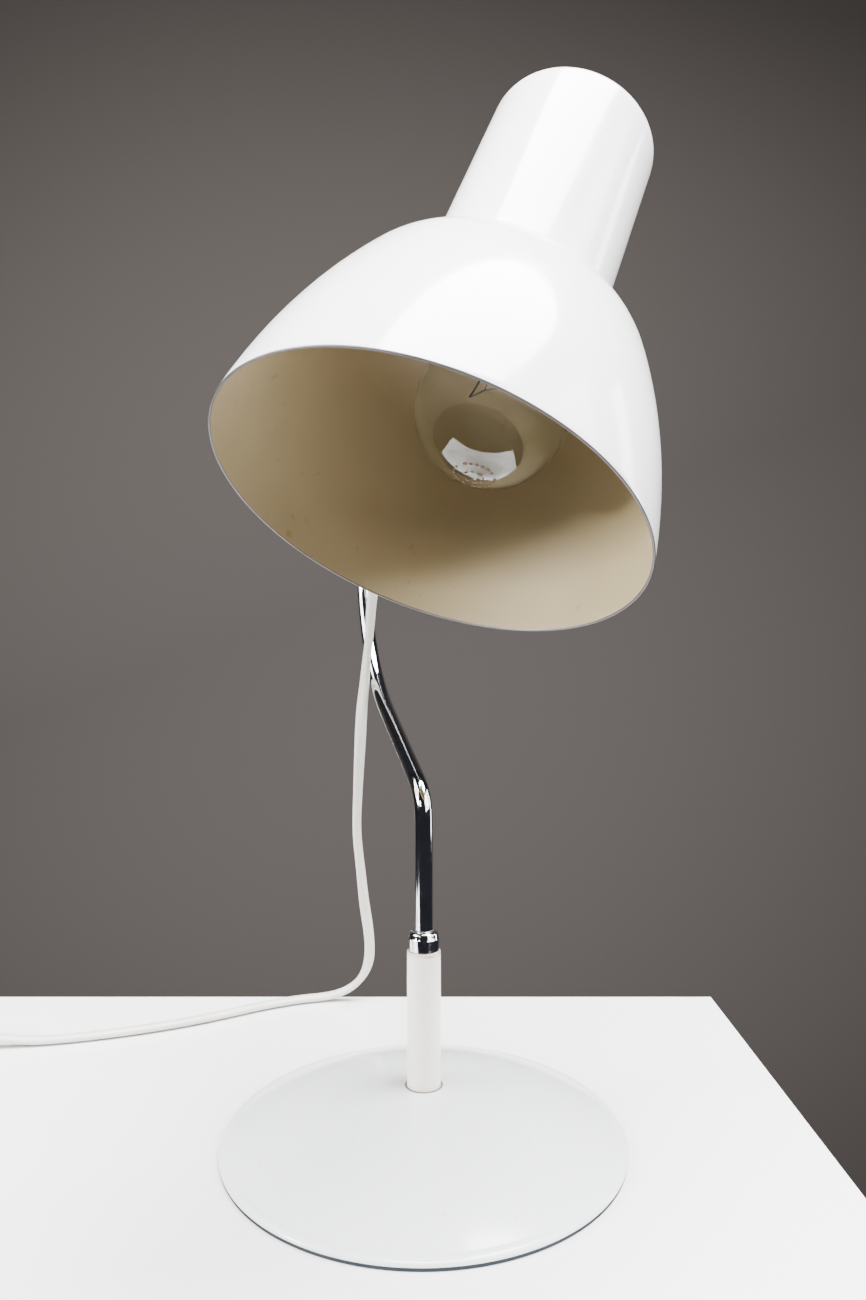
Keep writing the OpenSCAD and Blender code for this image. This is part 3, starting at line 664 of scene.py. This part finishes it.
ELBOW_TURN = math.pi / 2 - ARM_SLOPE
ELBOW_END = (ELBOW_R * (1 - math.cos(ELBOW_TURN)), STEM_TOP + ELBOW_R * math.sin(ELBOW_TURN))
RUN_END = (ELBOW_END[0] + ARM_RUN * math.cos(ARM_SLOPE), ELBOW_END[1] + ARM_RUN * math.sin(ARM_SLOPE))
BOW_C = (RUN_END[0] - BOW_R * math.sin(ARM_SLOPE), RUN_END[1] + BOW_R * math.cos(ARM_SLOPE))
BOW_C3 = Vector((0, BOW_C[0] * MM, BOW_C[1] * MM))
BOW_FROM = ARM_SLOPE - math.pi / 2
BOW_TO = math.pi / 2 + END_SLOPE


def arm_path():
    points = [arm_plane(0, TUBE_FOOT), arm_plane(0, TUBE_FOOT + 20), arm_plane(0, STEM_TOP - 10)]
    for i in range(17):
        a = ELBOW_TURN * i / 16
        points.append(arm_plane(ELBOW_R * (1 - math.cos(a)), STEM_TOP + ELBOW_R * math.sin(a)))
    for i in range(97):
        a = BOW_FROM + (BOW_TO - BOW_FROM) * i / 96
        points.append(arm_plane(BOW_C[0] + BOW_R * math.cos(a), BOW_C[1] + BOW_R * math.sin(a)))
    end = points[-1]
    points.append(end - TUBE_STUB * arm_plane(math.cos(END_SLOPE), math.sin(END_SLOPE)))
    return relaxed(smooth_path(points, 2.0), EASE_ROUNDS)


def make_arm():
    """The bent chrome tube, open at both ends."""
    obj = sweep("arm_bend", arm_path(), round_section(ARM_R, 40), ARM_FRAME, ["chrome"], bore=ARM_R - 1)
    return finish_piece(obj, "arm", "chrome", "arm_tube")


make_arm()
relief = make_relief()


# ---- base and column ----

def dome_points(inset, r_from, r_to, steps):
    """Points on the base's dome, or inset below it."""
    rise = BASE_H - CREASE_Z
    reach = BASE_R - EDGE_R
    radius = (reach ** 2 + rise ** 2) / (2 * rise)
    centre_z = BASE_H - radius
    return [(r_from + (r_to - r_from) * i / steps,
             centre_z + math.sqrt((radius - inset) ** 2 - (r_from + (r_to - r_from) * i / steps) ** 2))
            for i in range(steps + 1)]


def make_base():
    """Spun dome with a rolled lip, on a thin felt pad coloured near-black, which also stands in as painted shadow
    under the edge.
    """
    hole = COLUMN_R + 0.6
    reach = BASE_R - EDGE_R
    lip = [(reach + EDGE_R * math.cos(a), PAD_T + (CREASE_Z - PAD_T) * math.sin(a))
           for a in (math.pi / 2 * i / 12 for i in range(13))]
    outer = [(hole, BASE_H - 0.9), (hole + 0.5, BASE_H - 0.28)] \
        + dome_points(0, hole + 1.1, reach - 0.6, 40) + lip[::-1]
    inner = [(BASE_R - 1.3, PAD_T)] + dome_points(1.3, reach - 1.6, hole, 24)
    obj = lathe("base_dome", outer + inner, Matrix.Identity(4), ["base_enamel"], segments=180)
    finish_piece(obj, "stand", "base_enamel", "base_shell")
    edge = BASE_R - 0.15
    pad = [(0, 0), (edge - 0.5, 0), (edge - 0.1, 0.3), (edge, 0.8), (edge - 0.1, PAD_T - 0.2),
           (edge - 0.4, PAD_T - 0.02), (0, PAD_T - 0.02)]
    obj = lathe("base_pad", pad, Matrix.Identity(4), ["foot_felt"], segments=180, closed=False)
    finish_piece(obj, "stand", "foot_felt", "foot_pad")


def make_column():
    """The column's sleeve and the grime that has gathered around its foot."""
    outline = [(COLUMN_R - 1, 3.2), (COLUMN_R, 3.2), (COLUMN_R, 22), (COLUMN_R, 26), (COLUMN_R, 60),
               (COLUMN_R, COLUMN_H - 1.0)] \
        + arc((COLUMN_R - 0.7, COLUMN_H - 0.7), 0.7, 10, 90, 5) + [(COLUMN_R - 1, COLUMN_H)]
    obj = lathe("column_sleeve", outline, Matrix.Identity(4), ["column_enamel"], segments=96)
    finish_piece(obj, "stand", "column_enamel", "column_tube")
    ring = [(COLUMN_R + 0.02, BASE_H - 3), (COLUMN_R + 0.55, BASE_H - 3), (COLUMN_R + 0.58, BASE_H - 0.9),
            (COLUMN_R + 1.05, BASE_H - 0.3), (COLUMN_R + 0.02, BASE_H - 0.18)]

    def uneven(a, r, z):
        return 0.0 if z < BASE_H - 1 else 0.16 * noise.noise(Vector((math.cos(a) * 3, math.sin(a) * 3, z)))
    obj = lathe("column_ring", ring, Matrix.Identity(4), ["grime"], segments=120, wobble=uneven)
    finish_piece(obj, "stand", "dark_rubber", "column_seal")


def make_collar():
    """Chrome collar with a rounded top that the stem turns in."""
    bore = ARM_R + 0.05
    low = COLUMN_H - 12
    outline = [(bore, low), (COLUMN_R - 1, low), (COLUMN_R - 1, COLUMN_H + 0.05),
               (COLLAR_R - 0.35, COLUMN_H + 0.05), (COLLAR_R, COLUMN_H + 0.45),
               (COLLAR_R, COLUMN_H + 5.9), (COLLAR_R - 0.25, COLUMN_H + 6.3)] \
        + arc((COLLAR_R - 2.3, COLLAR_TOP - 2.1), 2.0, 22, 90, 9) \
        + [(bore + 0.5, COLLAR_TOP - 0.1), (bore, COLLAR_TOP - 0.4)]
    obj = lathe("collar_ring", outline, Matrix.Identity(4), ["chrome"], segments=96)
    finish_piece(obj, "stand", "chrome", "column_collar")


make_base()
make_column()
make_collar()


# ---- shade ----

BELL_A0 = 5.5
BELL_A1 = 25.0
BELL_R1 = 235.0
BELL_R2 = 39.3


def bell_line(inset, top=88.0, steps=28):
    """Outline of the bell from rim to top: a long gentle arc, then the round shoulder."""
    def along(r, r0, t0, a0, a):
        a0, a = math.radians(a0), math.radians(a)
        return r0 + r * (math.cos(a) - math.cos(a0)), t0 + r * (math.sin(a) - math.sin(a0))
    points = []
    for i in range(steps + 1):
        a = BELL_A0 + (BELL_A1 - BELL_A0) * i / steps
        r, t = along(BELL_R1, RIM_R, 0, BELL_A0, a)
        points.append((r - inset * math.cos(math.radians(a)), RIM_Z + t))
    shoulder = along(BELL_R1, RIM_R, 0, BELL_A0, BELL_A1)
    for i in range(1, steps + 1):
        a = BELL_A1 + (top - BELL_A1) * i / steps
        r, t = along(BELL_R2, shoulder[0], shoulder[1], BELL_A1, a)
        points.append((r - inset * math.cos(math.radians(a)),
                       RIM_Z + t - inset * math.sin(math.radians(a))))
    return points


def make_bell():
    """Bell with a rolled bare edge; a slight waviness keeps its highlights from looking machined."""
    outer = bell_line(0)
    inner = bell_line(SHADE_WALL)
    middle = ((outer[0][0] + inner[0][0]) / 2, RIM_Z + SHADE_WALL / 2)
    edge = arc(middle, SHADE_WALL / 2, 0, -180, 8)
    inner[0] = (inner[0][0], middle[1])
    outer[0] = (outer[0][0], middle[1])
    hole = outer[-1][0] - 1
    outline = outer[::-1] + edge[1:-1] + inner + [(hole, inner[-1][1]), (hole, outer[-1][1])]
    n_out, n_edge, n_in = len(outer), len(edge) - 1, len(inner) - 1
    spans = [0] * (n_out - 1) + [2] * n_edge + [1] * n_in + [0] * 3

    def dent(a, r, z):
        return 0.05 * math.sin(2 * a + 0.6) + 0.03 * math.sin(3 * a)
    obj = lathe("bell_shell", outline, SHADE_FRAME, ["shade_enamel", "lining", "bare_edge"], spans,
                segments=200, wobble=dent)
    finish_piece(obj, "head", "shade_enamel", "bell_shade")


def make_neck():
    """Tapered neck with a rounded closed end."""
    foot = RIM_Z + SEAM_T
    top = RIM_Z + HEAD_L
    run = HEAD_L - SEAM_T - NECK_ROUND - 0.25
    outer = [(NECK_R - 0.25, foot), (NECK_R, foot + 0.25)] \
        + [(NECK_R + (NECK_END_R - NECK_R) * i / 10, foot + 0.25 + run * i / 10)
           for i in range(1, 10)] \
        + arc((NECK_END_R - NECK_ROUND, top - NECK_ROUND), NECK_ROUND, 0, 90, 14) \
        + [(20, top), (10, top), (0, top)]
    k = NECK_ROUND - SHADE_WALL
    inner = [(0, top - SHADE_WALL), (20, top - SHADE_WALL)] \
        + arc((NECK_END_R - NECK_ROUND, top - NECK_ROUND), k, 90, 0, 8) \
        + [(NECK_R - SHADE_WALL, foot)]
    obj = lathe("neck_sleeve", outer + inner, SHADE_FRAME, ["shade_enamel"], segments=128)
    finish_piece(obj, "head", "shade_enamel", "neck_housing")


make_bell()
make_neck()


# ---- bulb ----

GLOBE_R = 30
GLOBE_Z = 75
GLOBE_TOP = GLOBE_Z + GLOBE_R
GLASS_WALL = 0.6
PITCH = 3.63
THREAD_LOW = 6.5
THREAD_HIGH = 26.0
THREAD_R = 12.7
THREAD_DEPTH = 0.55
THREAD_ROWS = 70
THREAD_SIDES = 72


def glass_outline(inset):
    """The bulb's envelope: a round globe that runs into a narrower throat."""
    radius = GLOBE_R - inset
    globe = [(radius * math.cos(math.radians(a)), GLOBE_Z + radius * math.sin(math.radians(a)))
             for a in range(-34, 91, 4)]
    throat = [(12.3 - inset, 18), (12.3 - inset, 26.5), (12.9 - inset, 29), (14.0 - inset, 34),
              (15.6 - inset, 40), (17.9 - inset, 46), (20.8 - inset, 52)]
    return throat + globe + [(0, GLOBE_TOP - inset)]


def make_bulb():
    """Glass envelope and screw cap."""
    outer = glass_outline(0)
    inner = glass_outline(GLASS_WALL)
    obj = lathe("bulb_globe", outer + inner[::-1], BULB_FRAME, ["clear_glass"], segments=96)
    finish_piece(obj, "head", "clear_glass", "bulb_glass")
    make_screw()


def make_screw():
    """The rolled thread of the bulb's cap, fading out at both ends."""
    verts, faces = [], []
    for i in range(THREAD_ROWS + 1):
        z = THREAD_LOW + (THREAD_HIGH - THREAD_LOW) * i / THREAD_ROWS
        for k in range(THREAD_SIDES):
            a = 2 * math.pi * k / THREAD_SIDES
            fade = min(1, (z - THREAD_LOW) / 2.2) * min(1, (THREAD_HIGH - z) / 1.5)
            wave = THREAD_DEPTH * math.sin(2 * math.pi * z / PITCH + a)
            r = THREAD_R + fade * wave - 3.4 * max(0, 1 - (z - THREAD_LOW) / 1.6) ** 2
            verts.append((r * math.cos(a), r * math.sin(a), z))
    for i in range(THREAD_ROWS):
        row = i * THREAD_SIDES
        for k in range(THREAD_SIDES):
            k2 = (k + 1) % THREAD_SIDES
            faces.append((row + k, row + k2, row + THREAD_SIDES + k2, row + THREAD_SIDES + k))
    faces.append(tuple(range(THREAD_SIDES)))
    obj = make_object("bulb_screw", verts, faces, BULB_FRAME, ["bulb_alloy"], sharp=60)
    finish_piece(obj, "head", "bulb_alloy", "bulb_cap")


def coiled_wire(a, b, radius, turns, steps):
    """A filament coil between two points."""
    d = b - a
    side = d.cross(Vector((0, 0, 1))).normalized()
    up = d.cross(side).normalized()
    return [a + d * (i / steps) + radius * (math.cos(2 * math.pi * turns * i / steps) * side
                                           + math.sin(2 * math.pi * turns * i / steps) * up)
            for i in range(steps + 1)]


FILAMENT_SPOTS = [(-11, 0, 75.5), (-5, -1, 68), (2, 1, 63), (8, 0, 60)]


def make_wires():
    """Two leads and two fine supports from the glass stem to the filament."""
    foot = 52
    for k, (spot, thick) in enumerate(zip(vectors(FILAMENT_SPOTS), (0.42, 0.16, 0.16, 0.30))):
        start = Vector((0.35 * spot.x if k in (1, 2) else math.copysign(1.2, spot.x), 0, foot))
        middle = start.lerp(spot, 0.5) + Vector((0.12 * spot.x, 0, -1))
        path = smooth_path([start, middle, spot], 2.0)
        obj = sweep(f"bulb_lead_{k}", path, round_section(thick, 12), BULB_FRAME, ["bulb_metal"],
                    Vector((0, 1, 0)))
        finish_piece(obj, "head", "bulb_metal", "bulb_wires")


def make_filament():
    """Fine coiled wire strung between the four supports."""
    spots = vectors(FILAMENT_SPOTS)
    path = []
    for a, b in zip(spots, spots[1:]):
        path += coiled_wire(a, b, 0.34, 14, 14 * 8)
    obj = sweep("filament_coil", path, round_section(0.12, 6), BULB_FRAME, ["bulb_metal"])
    finish_piece(obj, "head", "bulb_metal", "bulb_filament")


def make_stamp():
    """Worn rings of small marks at the bulb's tip, without lettering."""
    verts, faces = [], []
    marks = [(15, 2 * math.pi * k / 21) for k in range(21) if k % 7 != 3]
    marks += [(7, 2 * math.pi * k / 8) for k in range(8) if k != 5]
    for degrees, a in marks:
        polar = math.radians(degrees)
        centre = Vector((math.sin(polar) * math.cos(a), math.sin(polar) * math.sin(a), math.cos(polar)))
        side = centre.cross(Vector((0, 0, 1))).normalized()
        up = centre.cross(side)
        middle = Vector((0, 0, GLOBE_Z)) + (GLOBE_R + 0.04) * centre
        n = len(verts)
        size = 0.6 + 0.15 * math.sin(5 * a)
        verts += [middle + size * (math.cos(t) * side * 1.5 + math.sin(t) * up)
                  for t in (2 * math.pi * i / 10 for i in range(10))]
        faces.append(tuple(range(n, n + 10)))
    obj = make_object("bulb_dots", verts, faces, BULB_FRAME, ["stamp"])
    solid = obj.modifiers.new("thick", "SOLIDIFY")
    solid.thickness = 0.00005
    finish_piece(obj, "head", "bulb_metal")


make_bulb()
make_wires()
make_filament()
make_stamp()


# ---- small parts, switch, plug and tie: rounded copies of CAD shapes ----

def softened(name, node, body, slot, width):
    """A copy of a CAD node with its sharp edges rounded."""
    mesh = frame["nodes"][node].data.copy()
    bm = bmesh.new()
    bm.from_mesh(mesh)
    bmesh.ops.remove_doubles(bm, verts=bm.verts, dist=2e-6)
    bmesh.ops.dissolve_limit(bm, angle_limit=math.radians(1.5), verts=bm.verts, edges=bm.edges)
    for f in bm.faces:
        f.smooth = True
    bm.to_mesh(mesh)
    bm.free()
    obj = bpy.data.objects.new(name, mesh)
    bpy.context.scene.collection.objects.link(obj)
    mesh.materials.clear()
    mesh.materials.append(MATERIALS[slot])
    round_over = obj.modifiers.new("round", "BEVEL")
    round_over.width = width
    round_over.segments = 3
    round_over.limit_method = "ANGLE"
    round_over.angle_limit = math.radians(35)
    round_over.harden_normals = True
    return finish_piece(obj, body, slot, node)


# piece, CAD node, body, finish and width of the rounding in metres
SOFTENED = [
    ("fork_body", "knuckle_fork", "fork", "zinc_steel", 0.0004),
    ("tongue_body", "knuckle_tongue", "head", "zinc_steel", 0.0004),
    ("bolt_body", "hinge_bolt", "fork", "zinc_steel", 0.0005),
    ("nut_body", "hinge_nut", "fork", "zinc_steel", 0.0003),
    ("ferrule_body", "arm_ferrule", "arm", "chrome", 0.0005),
    ("switch_upper", "switch_cover", "stand", "switch_plastic", 0.0012),
    ("switch_lower", "switch_base", "stand", "switch_plastic", 0.0010),
    ("rocker_key", "switch_rocker", "rocker", "rocker_plastic", 0.0005),
    ("plug_shell", "plug_body", "stand", "switch_plastic", 0.0015),
    ("plug_prongs", "plug_pins", "stand", "pin_metal", 0.0002),
    ("tie_band", "cord_tie", "stand", "tie_plastic", 0.0003),
]
for row in SOFTENED:
    softened(*row)


def make_plug_relief():
    """Tapered and grooved sleeve where the lead enters the plug."""
    place = Matrix.Translation(Vector(TAIL_ROUTE[-1]) * MM) @ turn(math.radians(-20), "Z") \
        @ turn(math.pi / 2, "Y")
    steps = 80
    outline = [(2.7, 0.0)]
    for i in range(steps + 1):
        t = i / steps
        groove = 0.3 if 0.1 < t < 0.85 and (t * 8) % 1 > 0.6 else 0.0
        outline.append((3.35 + 1.7 * t - groove, 20 * t))
    outline.append((2.7, 20))
    obj = lathe("plug_taper", outline, place, ["switch_plastic"], segments=48)
    finish_piece(obj, "stand", "switch_plastic", "plug_relief")
    return obj


plug_taper = make_plug_relief()


# ---- stage and lights ----

# the table top: left, right, front and back edges
TABLE = (-0.42, 0.187, -0.19, 0.174)
WALL_Y = 2.4


def flat(name, corners, material):
    """One flat sheet of the stage."""
    mesh = bpy.data.meshes.new(name)
    mesh.from_pydata(corners, [], [(0, 1, 2, 3)])
    mesh.materials.append(material)
    obj = bpy.data.objects.new(name, mesh)
    bpy.context.scene.collection.objects.link(obj)
    return obj


def make_stage():
    """A white table top and a grey-brown wall far behind it, its colour graded with height as painted light."""
    m, nodes, links, shader = new_material("table_top")
    clouds = object_noise(nodes, links, 3, 3)
    links.new(mixed(nodes, links, clouds, (0.79, 0.782, 0.79), (0.76, 0.752, 0.76)),
              shader.inputs["Base Color"])
    shader.inputs["Roughness"].default_value = 0.22
    shader.inputs["Specular IOR Level"].default_value = 0.5
    left, right, front, back = TABLE
    flat("floor", [(left, front, 0), (right, front, 0), (right, back, 0), (left, back, 0)], m)
    m, nodes, links, shader = new_material("backdrop")
    # painted light: the wall is darkest a little below the middle, lighter towards the bottom left and lightest
    # towards the top
    up = height_above(nodes, links, (-1.3, WALL_Y, -0.9), (-0.35, 0, 0.94))
    links.new(ramp(nodes, links, to_range(nodes, links, up, -0.9, 2.9, 0, 1),
                   [(0.0, (0.040, 0.0335, 0.031)), (0.45, (0.031, 0.026, 0.024)),
                    (1.0, (0.075, 0.064, 0.058))]), shader.inputs["Base Color"])
    shader.inputs["Roughness"].default_value = 0.9
    flat("backdrop", [(-4, WALL_Y, -2.0), (4, WALL_Y, -2.0), (4, WALL_Y, 3.5), (-4, WALL_Y, 3.5)], m)


def soft_box(name, place, aim, size, power, shape="RECTANGLE"):
    """A white area light at place that faces aim."""
    data = bpy.data.lights.new(name, "AREA")
    data.shape = shape
    data.size, data.size_y = size
    data.energy = power
    obj = bpy.data.objects.new(name, data)
    obj.location = place
    obj.rotation_euler = (Vector(aim) - Vector(place)).to_track_quat("-Z", "Y").to_euler()
    bpy.context.scene.collection.objects.link(obj)


def make_lights():
    """A large key overhead, soft fill from both sides, small lights for glints and one for the wall."""
    soft_box("key", (0.30, -0.38, 1.75), (0.05, -0.10, 0.25), (1.8, 1.05), 260, "ELLIPSE")
    soft_box("left", (-1.5, -0.3, 1.15), (0, 0, 0.25), (1.2, 1.3), 45)
    soft_box("fill", (1.7, -0.9, 1.2), (0, 0, 0.3), (2.2, 1.4), 90)
    soft_box("right", (1.45, 0.5, 0.52), (0, 0, 0.52), (0.2, 1.36), 12)
    soft_box("front", (-1.29, -0.53, 0.59), (0.05, -0.1, 0.27), (0.28, 0.28), 34)
    soft_box("glint", (-0.82, -1.14, 0.72), (0.05, -0.1, 0.27), (0.2, 0.3), 5)
    soft_box("wall", (-0.7, 1.0, -0.2), (-0.5, WALL_Y, 0.3), (3.2, 2.0), 56)
    world = bpy.data.worlds.new("world")
    bpy.context.scene.world = world
    world.use_nodes = True
    world.node_tree.nodes["Background"].inputs["Color"].default_value = (0.026, 0.028, 0.036, 1)
    world.node_tree.nodes["Background"].inputs["Strength"].default_value = 1.0


make_stage()
make_lights()
